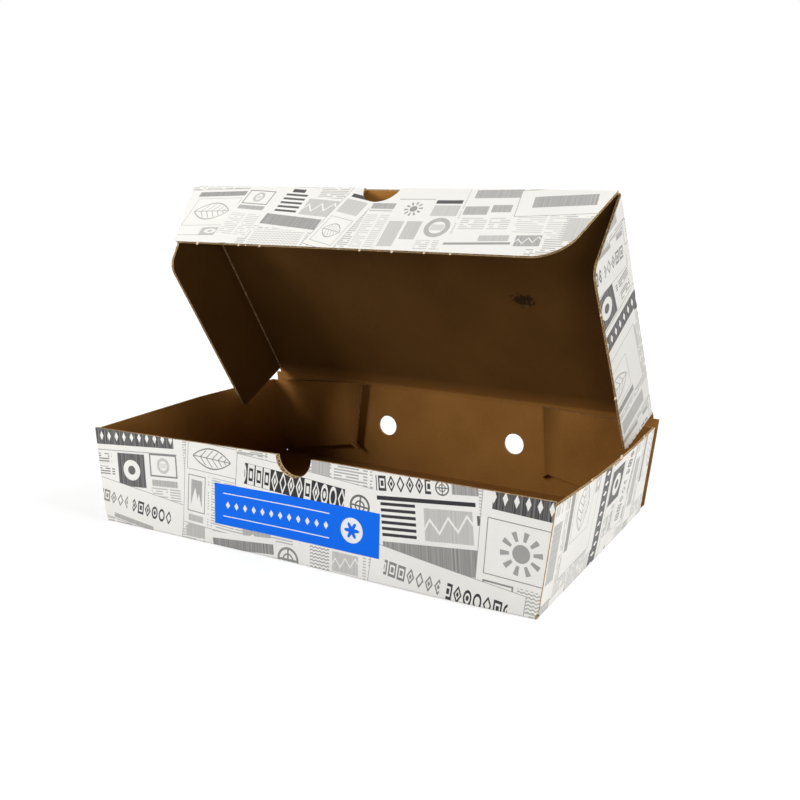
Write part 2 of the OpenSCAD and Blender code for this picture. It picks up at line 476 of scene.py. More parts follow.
# The print repeats over the sheet. Each clipping is (middle, half size, tilt in degrees, outlined,
# fields), and a field is (kind, ink, x0, x1, y0, y1) from the clipping's middle, in mm. The flap
# factor greys the paper on the lid's side flaps as painted shade.
newsprint = {
    "width": 310, "height": 133.75, "foot": 90.25, "apart": 400, "outline": 0.35,
    "paper": (0.86, 0.845, 0.80), "flapPaintedShade": 0.8, "ink": (0.022, 0.022, 0.025),
    "panel": (-58.2, 54.2, 103.6, 128.4), "panelBlue": (0.0, 0.145, 0.84), "panelWhite": (0.85, 0.87, 0.9),
    "panelFields": [("badge", 0.97, 31, 46, -7.5, 7.5), ("lozenges", 0.97, -50, 24, -4, 4),
                    ("plain", 0.9, -50, 24, 6.6, 7.2), ("plain", 0.9, -50, 24, -7.2, -6.6)],
    "ground": [
        ("rows", 0.42, -155, 155, 0, 133.75), ("plain", 0.01, -20, 8, 56, 62),
        ("plain", 0.6, -62, -20, 58.6, 59.1), ("plain", 0.6, -34, -20, 55.6, 56.4),
        ("rows", 0.5, 8, 50, 50, 64), ("streaks", 0.45, 10, 22, 52, 61), ("streaks", 0.42, -80, -66, 2, 12),
        ("plain", 0.01, -66, -60, 0, 13), ("peaks", 0.5, -38, -18, 6, 13.5), ("wheel", 0.7, -14, 2, -7, 9),
        ("plain", 0.01, 2, 9, 0, 13), ("waves", 0.55, 9, 22, 0, 12.5), ("plain", 0.01, 22, 44, 0, 13),
        ("zigzag", 0.36, 24, 41, 1, 12), ("streaks", 0.3, -153, -139, 66, 88),
        ("plain", 0.6, -137, -136.4, 64, 92), ("rows", 0.3, -134, -110, 64, 84),
        ("plain", 0.01, -155, 155, 118, 133.75), ("streaks", 0.4, -150, -118, 121, 131),
        ("rows", 0.45, -114, -80, 119, 133), ("zigzag", 0.36, -76, -52, 120, 132),
        ("rows", 0.45, -48, -14, 119, 133), ("streaks", 0.6, -10, 34, 123, 131),
        ("plain", 0.7, -10, 34, 120.4, 121), ("waves", 0.5, 38, 60, 119, 133),
        ("discOn", 0.7, 64, 78, 119, 133), ("rows", 0.42, 82, 112, 119, 133),
        ("streaks", 0.36, 116, 150, 120, 132), ("plain", 0.01, -76, -34, 64, 78),
        ("waves", 0.3, -74, -36, 65, 77), ("rows", 0.22, 94, 126, 78, 97), ("streaks", 0.3, 128, 140, 77, 95),
        ("peaks", 0.5, 130, 146, 97, 105),
    ],
    "clippings": [
        ((-118, 40), (37, 34), 4, False, [
            ("lozengesOn", 0.88, -37, 30, 12.5, 23.5), ("plain", 0.65, -37, 32, 8.6, 9.1),
            ("rows", 0.75, -36, -21, 0, 6.5), ("rows", 0.75, -36, -19, -8, -2),
            ("discOn", 0.86, -16, 6, -14, 7.5), ("plain", 0.75, 10, 31.5, -6, 8.6),
            ("plain", 0.01, 11, 30.5, -5, 7.6), ("donut", 0.34, 15.5, 26, -4, 6.6),
            ("streaks", 0.48, 11, 31, -12, -8), ("rows", 0.4, 10, 33, -30, -13)]),
        ((-119, 12.5), (37, 12.5), -7, True, [
            ("shapes", 0.7, -33, -8, -3, 5), ("shapes", 0.95, -4, 27, -3.5, 5),
            ("streaks", 0.5, -34, -26, -11.6, -8.6), ("streaks", 0.5, -18, 14, -11.6, -8.6)]),
        ((-62, 36), (19, 27), -3, True, [
            ("plain", 0.6, -17, 19, 7.2, 25), ("plain", 0.01, -16.6, 19, 7.6, 24.6),
            ("leaf", 0.75, -13, 15, 8.6, 23.6), ("plain", 0.66, -16, -3, -19, 4),
            ("plain", 0.01, -15.4, -3.6, -18.4, 3.4), ("peaks", 0.55, -13.6, -5.4, -15, 1),
            ("rows", 0.4, -1, 19, -26, 5), ("streaks", 0.42, -15, -4, -25, -21)]),
        ((-38, 3.5), (24, 6), 5, False, [("streaks", 0.68, -22, 22, -3.5, 2.5)]),
        ((4, 36), (47, 18.5), -4.5, True, [
            ("shapesOn", 0.99, -41, 27, 1.5, 14), ("wheel", 0.85, 30, 44, 0, 14),
            ("rows", 0.4, -40, 44, -17, -1)]),
        ((82, 38), (31, 31), 5.5, False, [
            ("shapes", 0.97, -29, 4, 15.2, 23.6), ("wheel", 0.85, 6, 15, 14.5, 23.5),
            ("streaks", 0.6, 16, 31, 16, 22.5), ("plain", 0.99, -29, 29, 10.4, 12.6),
            ("bars", 0.98, -27, -6, -10.6, 9.2), ("zigzag", 0.38, -1, 27, -9.4, 7.8),
            ("streaks", 0.66, -27, 29, -26, -11.8), ("plain", 0.9, 29.5, 31, 1, 6)]),
        ((134, 34), (22, 32), -3, True, [
            ("lozengesOn", 0.9, -16, 22, 17, 30), ("plain", 0.72, -18, 22, -17, 12.5),
            ("plain", 0.01, -17.5, 22, -16.5, 12), ("sun", 0.6, -11, 14, -15, 10),
            ("plain", 0.7, -18, -1, -27, -20), ("plain", 0.01, -17, -2, -26, -21),
            ("plain", 0.6, -14, -5, -24, -23.2), ("waves", 0.5, 1, 19, -31.5, -20)]),
        ((93, 4.5), (45, 12), -7.5, True, [("shapes", 0.74, -36, -2, -3.5, 5), ("shapes", 0.97, 2, 36, -4, 5)]),
        ((-120, 93), (32, 22), 3, True, [
            ("streaks", 0.62, -18, 20, 15, 19.5), ("plain", 0.45, -16, 19, -13, 13),
            ("plain", 0.01, -15.6, 18.6, -12.6, 12.6), ("leaf", 0.5, -13, 15, -9, 10),
            ("discOn", 0.4, 3, 18, -21.6, -15)]),
        ((-89, 95), (13, 24), -4, False, [
            ("plain", 0.66, -11, 10, 6, 19), ("plain", 0.01, -10.2, 9.2, 6.8, 18.2),
            ("donut", 0.36, -5, 4, 8, 17.5), ("streaks", 0.5, -11, 10, 1, 4.6),
            ("rows", 0.25, -12, 12, -22, -3)]),
        ((-60, 102), (16, 15), -4, False, [("plain", 0.92, -6, 4, 10.5, 13.5), ("bars", 0.88, -9, 8, -13, 9)]),
        ((-37, 99), (14, 9), -5, False, [("zigzag", 0.34, -12, 12, -7.5, 7)]),
        ((-52, 86), (25, 7), -6, False, [("streaks", 0.6, -22, 22, -4.6, 4.6)]),
        ((-15, 92), (12, 28), -14, True, [
            ("plain", 0.93, -8, 8, 16, 19), ("streaks", 0.32, -9, 8, 2, 14), ("plain", 0.5, -9, 9, -24, -2),
            ("plain", 0.01, -8.6, 8.6, -23.6, -2.4), ("leaf", 0.55, -7, 7, -20, -6)]),
        ((8, 92), (9, 27), 0, False, [
            ("streaks", 0.52, -8, 8, 7, 12), ("plain", 0.5, -8, 8, 5, 5.7), ("rows", 0.25, -8, 8, -26, 2)]),
        ((29, 92), (12, 27), 1, False, [
            ("plain", 0.45, -12, 12, 15.6, 16.3), ("sun", 0.62, -6, 7, 1, 14),
            ("streaks", 0.32, -11, -1, -24, -3), ("streaks", 0.36, 1, 11, -18, -3)]),
        ((51, 92), (10, 27), 1, False, [
            ("plain", 0.9, -8.5, 8.5, 12.5, 15.5), ("streaks", 0.32, -8.5, 8.5, 2, 11),
            ("donut", 0.46, -8.5, 8.5, -16, 1), ("rows", 0.3, -9, 9, -26, -18)]),
        ((80, 92), (18, 27), 2, False, [
            ("streaks", 0.48, -17, -2, 4, 11), ("streaks", 0.5, 0, 12, 6, 12), ("rows", 0.3, -16, 14, -8, 2),
            ("plain", 0.5, -17, 12, -14, -13.3), ("streaks", 0.5, -14, 15, 18, 25)]),
        ((88, 75), (31, 6), 3, False, [
            ("plain", 0.62, -28, 12, -2.6, -0.9), ("streaks", 0.36, -8, 10, 0, 4.6),
            ("zigzag", 0.5, 14, 29, -4, 4.4)]),
        ((122, 108), (28, 11), 5, True, [("streaks", 0.52, -19, 18, -4, 5)]),
    ],
}


# True where the vector lies in the box, with the vector that runs from 0 to 1 across it.
def inField(tree, place, x0, x1, y0, y1, code=0.0):
    wide, high = x1 - x0, y1 - y0
    made = vector(tree, "MULTIPLY_ADD", place, (1 / wide, 1 / high, 0), (-x0 / wide, -y0 / high, code / 100))
    return vector(tree, "LENGTH", vector(tree, "FLOOR", made)) < 0.5, made


def printGroup():
    n = newsprint
    tree, given, result = newGroup("sheetPrint", ["Sheet"], "Ink")
    sheet = vector(tree, "MULTIPLY", given["Sheet"], (100, 100, 0))
    sheetX, sheetY, _ = parts(tree, sheet)
    tileX = calc(tree, "WRAP", sheetX, n["width"] / 2, -n["width"] / 2)
    tileY = calc(tree, "WRAP", sheetY - n["foot"], n["height"], 0.0)
    place = point(tree, tileX, tileY)
    tile, fields = place, list(n["ground"])

    def put(level, *made):
        fields.extend((kind, ink, x0, x1, level + y0, level + y1) for kind, ink, x0, x1, y0, y1 in made)

    for k, ((cx, cy), (wide, high), tilt, outlined, inside) in enumerate(n["clippings"], 1):
        back = Matrix.Rotation(-math.radians(tilt), 3, "Z")
        home = -(back @ Vector((cx, cy, 0))) + Vector((0, k * n["apart"], 0))
        moved = addNode(tree, "ShaderNodeMapping", tile, home, (0, 0, -math.radians(tilt)),
                        vector_type="POINT").outputs[0]
        level = k * n["apart"]
        mask, _ = inField(tree, moved, -wide, wide, level - high, level + high)
        place = choose(tree, "VECTOR", mask, place, moved)
        rim = n["outline"] if outlined else 0
        if outlined:
            put(level, ("plain", 0.62, -wide, wide, -high, high))
        put(level, ("plain", 0.01, rim - wide, wide - rim, rim - high, high - rim), *inside)
    x0, x1, y0, y1 = n["panel"]
    onPanel, _ = inField(tree, sheet, x0, x1, y0, y1)
    level = -n["apart"]
    home = (-(x0 + x1) / 2, level - (y0 + y1) / 2, 0)
    place = choose(tree, "VECTOR", onPanel, place, vector(tree, "ADD", sheet, home))
    put(level, *n["panelFields"])
    found = (0, 0, 0)
    for kind, ink, *box in fields:
        mask, made = inField(tree, place, *box, fill[kind] + ink)
        found = choose(tree, "VECTOR", mask, found, made)
    ink = inkOf(tree, place, found)
    shade = noise(tree, given["Sheet"], 3.0, 4.0, 0.6) * 0.10 + 0.95
    # Painted shade: the paper on the lid's side flaps is greyed.
    onFlap = (sheetY < -sheetPlan["hingeY"]) * (abs(sheetX) > sheetPlan["flapX"])
    light = vector(tree, "SCALE", n["paper"], None, None, shade * (onFlap * (n["flapPaintedShade"] - 1) + 1))
    plain = choose(tree, "RGBA", ink, light, (*n["ink"], 1))
    blue = choose(tree, "RGBA", ink, (*n["panelBlue"], 1), (*n["panelWhite"], 1))
    wire(choose(tree, "RGBA", onPanel, plain, blue), result["Color"])
    wire(ink | onPanel, result["Ink"])
    return tree


# How much ink each kind of field puts down, from the place on the paper and the place across the field.
def inkOf(tree, place, found):
    def m(operation, *values):
        return calc(tree, operation, *values)

    def fract(value):
        return m("FRACT", value)

    x, y, _ = parts(tree, place)
    u, v, code = parts(tree, found)
    code = code * 100
    kind, tone = m("FLOOR", code), fract(code)
    across, upward = u * 2 - 1, v * 2 - 1
    ax, ay = abs(across), abs(upward)
    radius = vector(tree, "LENGTH", point(tree, across, upward))
    angle = m("ARCTAN2", upward, across)

    row = y / 1.65
    word = Value(addNode(tree, "ShaderNodeTexWhiteNoise", point(tree, m("FLOOR", x / 2.7), m("FLOOR", row)),
                         noise_dimensions="2D").outputs["Value"])
    rows = (fract(row) < 0.5) * (word > 0.13) * (fract(x / 23) > 0.07)
    grain = addNode(tree, "ShaderNodeTexNoise", None, x * 0.9, 1.0, 2.0, noise_dimensions="1D")
    streaks = Value(grain.outputs[0]) * 0.7 + 0.65
    zig = m("PINGPONG", u * 2.6 + 0.2, 0.5) * 0.9 + (u * 0.25 + 0.18)
    zigzag = streaks * (abs(v - zig) > 0.055)
    waves = fract((m("SINE", x * 2.3) * 0.3 + y) / 1.9) < 0.45
    discOn = streaks * (radius > 0.62) + (radius < 0.27)
    rise = ay - (1 - across * across) * 0.8
    veins = (fract(ay * -1.6 + across * 3.2) < 0.16) * (rise < -0.12)
    leaf = (abs(rise) < 0.055) | veins | (ay < 0.035)
    lozenges = abs(fract(x / 6.2) - 0.5) * 2.3 + ay < 0.56
    bars = fract(v * 6) > 0.5
    tall, low = 0.72 - abs(u - 0.36) * 2, 0.5 - abs(u - 0.72) * 2
    peaks = streaks * (v > (tall | low))
    cell = x / 5.6
    dice = addNode(tree, "ShaderNodeTexWhiteNoise", None, m("FLOOR", cell), noise_dimensions="1D")
    dice = Value(dice.outputs["Value"])
    aside = abs(fract(cell) * 2.3 - 1.15)
    ring = vector(tree, "LENGTH", point(tree, aside, ay))
    form = choose(tree, "FLOAT", dice > 0.38, aside + ay * 0.9,
                  choose(tree, "FLOAT", dice > 0.68, aside | ay, ring))
    core = (form < 0.34) * (m("PINGPONG", dice, 0.2) > 0.07)
    shapes = (abs(form - 0.79) < 0.18) | core
    cross = ((ax & ay) < 0.07) * (radius < 0.8)
    wheel = (abs(radius - 0.82) < 0.09) | (abs(radius - 0.4) < 0.06) | cross
    ray = (abs(radius - 0.72) < 0.2) * (fract(angle * (10 / math.tau)) < 0.4)
    window = (ax / 0.5 | ay / 0.28) < 1
    petal = m("COSINE", angle * 6) * 0.17 + 0.47
    kinds = {"plain": 1.0, "rows": rows, "streaks": streaks, "zigzag": zigzag, "waves": waves, "discOn": discOn,
             "leaf": leaf, "lozengesOn": streaks * (1 - lozenges), "bars": bars, "peaks": peaks,
             "shapes": shapes, "shapesOn": 1 - shapes * 0.95, "wheel": wheel, "sun": (radius < 0.38) | ray,
             "donut": streaks * (abs(radius - 0.76) < 0.18) | window * 0.5,
             "badge": (radius < 0.94) * ((radius | 0.14) > petal), "lozenges": lozenges}
    total = 0.0
    for name, made in kinds.items():
        total = m("COMPARE", kind, float(fill[name]), 0.5) * made + total
    made = total * tone
    made.socket.node.use_clamp = True
    return made


# The board's cut edge, between the two UV maps: two liners and the wave of paper between them, with painted
# shade in the hollows between.
flute = {"pitch": 3.2, "liner": 0.15, "line": 0.11, "swing": 0.31,
         "paper": (0.52, 0.36, 0.18), "hollowShade": (0.14, 0.075, 0.032), "torn": (0.78, 0.66, 0.45)}

# Brown unbleached liner: long fibres, soft patches and small dark flecks. Painted shade darkens the lid
# and painted light brightens the tray, a painted pool of light lies behind the thumb hole, and the lid has a
# dark scuff.
kraftLook = {"light": (0.255, 0.118, 0.027), "dark": (0.165, 0.070, 0.013), "fleck": (0.05, 0.022, 0.006),
             "trayPaintedLight": 1.22, "lidPaintedShade": 0.52, "lidShadeFrom": 150, "lidShadeTo": 166,
             "scuff": (0.03, 0.016, 0.008), "scuffAt": (76.5, -246), "scuffHalf": (12, 7),
             "holeLightAt": (0, -318), "holeLightFrom": 12, "holeLightTo": 21, "holeLightTone": 4.2}


def kraftGroup():
    k = kraftLook
    tree, given, result = newGroup("kraftLiner", ["Sheet"], "Height")
    paper = given["Sheet"]
    patches = noise(tree, paper, 2.2, 4.0, 0.55)
    fibres = noise(tree, vector(tree, "MULTIPLY", paper, (14, 60, 1)), 3.0, 5.0, 0.65)
    flecks = noise(tree, vector(tree, "MULTIPLY", paper, (1, 1.8, 1)), 90.0, 2.0, 0.5)
    tone = fibres * 0.9 + (patches * 1.3 - 0.6)
    tone.socket.node.use_clamp = True
    base = choose(tree, "RGBA", tone, (*k["dark"], 1), (*k["light"], 1))
    base = choose(tree, "RGBA", ramp(tree, flecks, 0.66, 0.74, 0.0, 0.75), base, (*k["fleck"], 1))
    sheet = vector(tree, "MULTIPLY", paper, (100, 100, 0))
    near = vector(tree, "DIVIDE", vector(tree, "SUBTRACT", sheet, (*k["scuffAt"], 0)), (*k["scuffHalf"], 1))
    worn = noise(tree, paper, 34.0, 3.0, 0.7) * 2.2 - vector(tree, "LENGTH", near)
    base = choose(tree, "RGBA", ramp(tree, worn, 0.42, 0.62, 0.0, 0.85), base, (*k["scuff"], 1))
    # Painted light and shade: the tray's kraft is brightened and the lid's darkened, with the tips of the rear
    # corner flaps, in a step along the sheet.
    down = parts(tree, sheet)[1]
    shade = ramp(tree, down * -1, k["lidShadeFrom"], k["lidShadeTo"], k["trayPaintedLight"], k["lidPaintedShade"])
    # Painted light: a pool of light on the lid's inside, just behind the thumb hole.
    hole = vector(tree, "LENGTH", vector(tree, "SUBTRACT", sheet, (*k["holeLightAt"], 0)))
    paintedHoleLight = ramp(tree, hole, k["holeLightFrom"], k["holeLightTo"], k["holeLightTone"], 1.0)
    wire(vector(tree, "SCALE", base, None, None, shade * paintedHoleLight), result["Color"])
    wire(calc(tree, "SINE", down * (math.tau / flute["pitch"])) * 0.10 + fibres, result["Height"])
    return tree


def edgeGroup():
    f = flute
    tree, given, result = newGroup("cutBoard", ["Sheet", "Edge", "Object"], "Height")
    across = parts(tree, given["Edge"])[0]
    along = parts(tree, given["Sheet"])[1] * (100 * math.tau / f["pitch"])
    wave = calc(tree, "COSINE", along) * f["swing"] + 0.5
    grain = noise(tree, given["Object"], 900.0, 3.0, 0.6)
    solid = (abs(across - 0.5) > 0.5 - f["liner"]) | (abs(across - wave) < f["line"]) | (grain > 0.56)
    torn = ramp(tree, noise(tree, given["Object"], 260.0, 2.0, 0.5), 0.60, 0.68, 0.0, 0.9)
    torn = torn | (across < -0.5)  # the tufts lie at -1
    tan = choose(tree, "RGBA", torn, (*f["paper"], 1), (*f["torn"], 1))
    # Painted shade fills the flute's hollows between the liners and the paper.
    wire(choose(tree, "RGBA", solid, (*f["hollowShade"], 1), tan), result["Color"])
    wire(grain * 0.4 + solid, result["Height"])
    return tree


# A material with the group's colour. The group's inputs are named after the places that they take.
def newMaterial(name, group, rough, shine):
    made = bpy.data.materials.new(name)
    made.use_nodes = True
    tree = made.node_tree
    sockets = tree.nodes["Principled BSDF"].inputs
    sockets["Roughness"].default_value, sockets["Specular IOR Level"].default_value = rough, shine
    look = addNode(tree, "ShaderNodeGroup", node_tree=group)
    for socket in look.inputs:
        if socket.name == "Object":
            wire(addNode(tree, "ShaderNodeTexCoord").outputs["Object"], socket)
        else:
            wire(addNode(tree, "ShaderNodeUVMap", uv_map=socket.name.lower()).outputs[0], socket)
    wire(look.outputs["Color"], sockets["Base Color"])
    return made, tree, sockets, look.outputs[1]


def raised(tree, sockets, height, strength, depth):
    bump = addNode(tree, "ShaderNodeBump")
    bump.inputs["Strength"].default_value, bump.inputs["Distance"].default_value = strength, depth
    wire(height, bump.inputs["Height"])
    wire(bump.outputs[0], sockets["Normal"])


def makeMaterials():
    kraft, tree, sockets, height = newMaterial("kraftInside", kraftGroup(), 0.8, 0.12)
    raised(tree, sockets, height, 0.35, 0.12 * mm)

    printed, tree, sockets, ink = newMaterial("printedOutside", printGroup(), 0.6, 0.15)
    wire(Value(ink) * -0.14 + 0.64, sockets["Roughness"])
    uv = addNode(tree, "ShaderNodeUVMap", uv_map="sheet").outputs[0]
    lines = calc(tree, "SINE", parts(tree, uv)[1] * (100 * math.tau / flute["pitch"]))
    raised(tree, sockets, lines * 0.14 + noise(tree, uv, 60.0, 4.0, 0.6), 0.3, 0.1 * mm)

    cut, tree, sockets, height = newMaterial("cutEdge", edgeGroup(), 0.85, 0.15)
    raised(tree, sockets, height, 0.6, 0.25 * mm)
    return kraft, printed, cut


boardFaces = makeMaterials()
print("materials made:", len(bpy.data.node_groups["sheetPrint"].nodes), "nodes in the print")


# Gives obj the materials of the inner side, the outer side and the cut edge.
def dress(obj):
    obj.data.materials.clear()
    for made in boardFaces:
        obj.data.materials.append(made)


trayShape = {
    "frontUp": 60.75, "backUp": 63.44, "clip": 4, "footX": 143.25, "clipX": 145.497,
    "frontTopX": 152.465, "backTopX": 152.795, "backOut": 1.5, "sideUp": 58.687,
    "rearTop": 77, "rearFoot": 68.5, "rearRise": 8, "rearFall": 4.6,
    "frontTop": 58, "frontFoot": 52, "frontRise": 8, "frontFall": 9,
    "standLeft": 2.9, "standRight": 1.5, "standFront": 0.3,
    "leftTall": 2.0, "leftCorner": (-4, -2.4, -2.6), "leftLong": (4, -1.5),
    "wallFoot": -89.5,  # the sheet's y where the front wall is at z 0, and its opposite for the back wall
    "slitX": 76.635, "slitZ": 15.64, "slitSlope": 31,
    "slits": {"slitCutter": ((7.1, 1.56), 0, 91), "crushCutter": ((7.6, 1.3), 0.55, 88.65)},
    "tongueLong": 6.9, "tongueFrom": {-1: 82.7, 1: 86.28},
    "notchX": -1.6, "notchZ": 61.9, "notchRadius": 11.9, "notchSkew": (1.5, -0.9),
    "ventX": 51.7, "ventZ": 33.4, "ventRadius": 7.4,
    "gridX": list(range(-140, 141, 14)), "gridY": list(range(-84, 85, 12)),
    "blankX": 156, "wallLines": [-120.25, 122.25],
    "sideLines": [2, 15, 30, 45], "flapLines": [110, 135, -110, -130],
}


# Trims for one end of the front (s -1) or back (s 1) wall: its clip and its leaning end.
def wallEnds(side, s):
    t, up = trayShape, trayShape["frontUp"] if s < 0 else trayShape["backUp"]
    topX = t["frontTopX"] if s < 0 else t["backTopX"] + t["backOut"]
    clipX = t["clipX"] if s < 0 else t["clipX"] + t["backOut"]
    y = sheetPlan["foldY"]
    return [((side * t["footX"], s * y), (side * t["clip"], -s * (clipX - t["footX"]))),
            ((side * clipX, s * (y + t["clip"])), (side * (up - t["clip"]), -s * (topX - clipX)))]


def makeBaseAndWalls():
    t, p = trayShape, sheetPlan
    obj = newSheet("trayBoard")
    addPanel(obj, -p["foldX"], p["foldX"], -p["foldY"], p["foldY"])
    for s, up in ((-1, t["frontUp"]), (1, t["backUp"])):
        ys = sorted((s * p["foldY"], s * (p["foldY"] + up)))
        addPanel(obj, -t["blankX"], t["blankX"], *ys, trims=wallEnds(-1, s) + wallEnds(1, s))
    cutLines(obj, xs=t["gridX"] + [-t["footX"], t["footX"]],
             ys=t["gridY"] + [-p["liningY"], p["liningY"]] + t["wallLines"])
    layUv(obj)
    return obj


# Side wall at s with its two corner flaps, folded in.
def makeSideWall(s, stand):
    t, p = trayShape, sheetPlan
    obj = newSheet("sideWall")
    x0, x1 = p["foldX"], p["foldX"] + t["sideUp"]
    span = sorted((s * x0, s * x1))
    addPanel(obj, *span, -p["liningY"], p["liningY"])
    for e, top, foot, rise, fall in ((1, t["rearTop"], t["rearFoot"], t["rearRise"], t["rearFall"]),
                                     (-1, t["frontTop"], t["frontFoot"], t["frontRise"], t["frontFall"])):
        root = p["liningY"]
        ys = sorted((e * root, e * (root + top + 1)))
        edges = [  # bottom edge, free end and top edge of the flap, from its root
            ((x0 + 2, root), (-foot, rise - 2)),
            ((x0 + rise, root + foot), (foot - top, t["sideUp"] - fall - rise)),
            ((x1 - 0.3, root), (top, fall - 0.3)),
        ]
        addPanel(obj, *span, *ys, trims=[((s * c[0], e * c[1]), (s * n[0], e * n[1])) for c, n in edges])
    cutLines(obj, xs=[s * (x0 + k) for k in t["sideLines"] + [t["sideUp"] - 0.3]],
             ys=t["gridY"] + t["flapLines"])
    layUv(obj)
    for e, lean in ((1, 90 + stand), (-1, 90 + t["standFront"])):
        turn(obj, "X", (0, e * p["liningY"], 0), e * lean, lambda v: e * v[1] > p["liningY"] + 0.05)
    turn(obj, "Y", (s * p["foldX"], 0, 0), -s * p["sideUp"], lambda v: s * v[0] > p["foldX"] + 0.01)
    if s < 0:
        warp([obj], (-153, -90, -1), (-70, 90, 61), (9, 13, 4), leftShift)
    return obj


# The left wall stands a little taller, its rear corner is pushed out and its rear flap is longer.
def leftShift(x, y, z):
    t, high = trayShape, max(0, z / 60)
    rear = max(0, y / 90) ** 2
    beyond = (x + 75) / 75  # from the rear flap's free end at 0 to the wall at -1
    corner = rear * max(0, min(1, -beyond)) * high
    longer = rear * max(0, 1 - abs(beyond)) * high
    long, tall = t["leftLong"]
    return corner * t["leftCorner"][0] + longer * long, corner * t["leftCorner"][1], (
        t["leftTall"] * high + corner * t["leftCorner"][2] + longer * tall)


# True for an edge of the tray that is a fold.
def onCrease(a, b):
    p = sheetPlan
    for axis, at in ((0, p["foldX"]), (1, p["foldY"])):
        if all(abs(abs(v[axis]) - at) < 0.03 and abs(v[2]) < 0.03 for v in (a, b)):
            return True
    steep = abs(a[2] - b[2]) > 0.3 * np.linalg.norm(a - b)
    return steep and all(abs(abs(v[1]) - p["liningY"]) < 0.03 for v in (a, b))


def makeTray():
    t, p = trayShape, sheetPlan
    tray = makeBaseAndWalls()
    for s in (-1, 1):
        turn(tray, "X", (0, s * p["foldY"], 0), s * p["wallUp"], lambda v: s * v[1] > p["foldY"] + 0.01)
    sides = [makeSideWall(1, t["standRight"]), makeSideWall(-1, t["standLeft"])]
    activate(tray)
    for side in sides:
        side.select_set(True)
    bpy.ops.object.join()
    editAll(tray)
    bpy.ops.mesh.remove_doubles(threshold=0.02 * mm)
    pick(tray, "EDGE", onCrease)
    bpy.ops.mesh.bevel(affect="EDGES", offset=0.9 * mm, segments=4)
    lift(tray)
    thicken(tray)
    cutOut(tray, "frontWall", roundCutter(
        "frontWall", t["notchX"], t["wallFoot"] - t["notchZ"], t["notchRadius"], t["notchSkew"]))
    for s in (-1, 1):
        up = t["ventZ"] - t["wallFoot"]
        cutOut(tray, "backWall", roundCutter("backWall", s * t["ventX"], up, t["ventRadius"]))
        for name, (size, up, y) in t["slits"].items():
            middle = (s * t["slitX"], y, t["slitZ"] + up)
            cutOut(tray, "backWall", block(name, middle, (size[0], 4, size[1]), s * t["slitSlope"]))
    for s in (-1, 1):
        start = t["tongueFrom"][s]
        tongue = block("tongue", (s * t["slitX"], (start + 91) / 2, t["slitZ"]),
                       (t["tongueLong"], 91 - start, board["thick"] / mm), s * t["slitSlope"])
        editAll(tongue)
        bpy.ops.mesh.bevel(affect="EDGES", offset=0.15 * mm, segments=2)
        objectMode()
        addTo(tray, tongue, 0, 0)
    addTufts(tray, "rightWall")
    return tray


tray = makeTray()
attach(tray, "tray")
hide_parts("tray")
print("tray", bounding(tray), len(tray.data.polygons), "faces")

lidShape = {
    "reach": 172, "tabX": 150.41, "tabReach": 3.7,
    "flapFrom": 4, "flapTo": 170, "leftDeep": 54.5, "rightDeep": 44,
    "frontSlant": 25, "rearSlant": 11, "frontRound": 9, "rearRound": 3,
    "thumbRadius": 13, "tuckDeep": 53, "tuckX": 149.158, "tuckSlant": 19, "tuckRound": 24, "tuckNip": 3,
    "grid": list(range(165, 326, 14)), "gridX": list(range(-140, 141, 14)),
}


def makeLid():
    t, p = lidShape, sheetPlan
    bend = board["bend"] / mm
    y0, y1 = p["hingeY"] + bend, p["tuckY"] - bend
    tab = p["hingeY"] + t["tabReach"]
    edge = p["flapX"] - bend
    obj = newSheet("lidBoard")
    addPanel(obj, -t["tabX"], t["tabX"], y0, tab)
    addPanel(obj, -edge, edge, tab, y1)
    cutLines(obj, xs=t["gridX"] + [-edge, edge], ys=t["grid"])
    layUv(obj)
    raiseLid(obj)
    thicken(obj)
    pare(obj, "lid", [(0, -edge), (0, edge), (1, y1)])
    return obj


def cornerReach(radius, turnBy):
    return radius / math.tan(math.radians(turnBy) / 2)


def makeTuck():
    t, p = lidShape, sheetPlan
    y0, y1 = p["tuckY"] + board["bend"] / mm, p["tuckY"] + t["tuckDeep"]
    slope = math.tan(math.radians(t["tuckSlant"]))
    tip = t["tuckX"] - t["tuckDeep"] * slope
    obj = newSheet("frontFlapBoard")
    addPanel(obj, -t["tuckX"], t["tuckX"], y0, y1,
             trims=[((s * t["tuckX"], p["tuckY"]), (s, slope)) for s in (-1, 1)],
             rounds=[((tip, y1), cornerReach(t["tuckRound"], 90 + t["tuckSlant"])),
                     ((-tip, y1), cornerReach(t["tuckNip"], 90 + t["tuckSlant"]))])
    cutLines(obj, xs=t["gridX"], ys=[p["tuckY"] + k for k in (13, 26, 39)])
    layUv(obj)
    turn(obj, "X", (0, p["tuckY"], 0), p["tuckFold"])
    raiseLid(obj)
    thicken(obj)
    pare(obj, "frontFlap", [(1, y0)])
    cutOut(obj, "frontFlap", roundCutter("frontFlap", 0, p["tuckY"], t["thumbRadius"]))
    addTufts(obj, "frontFlap")
    return obj


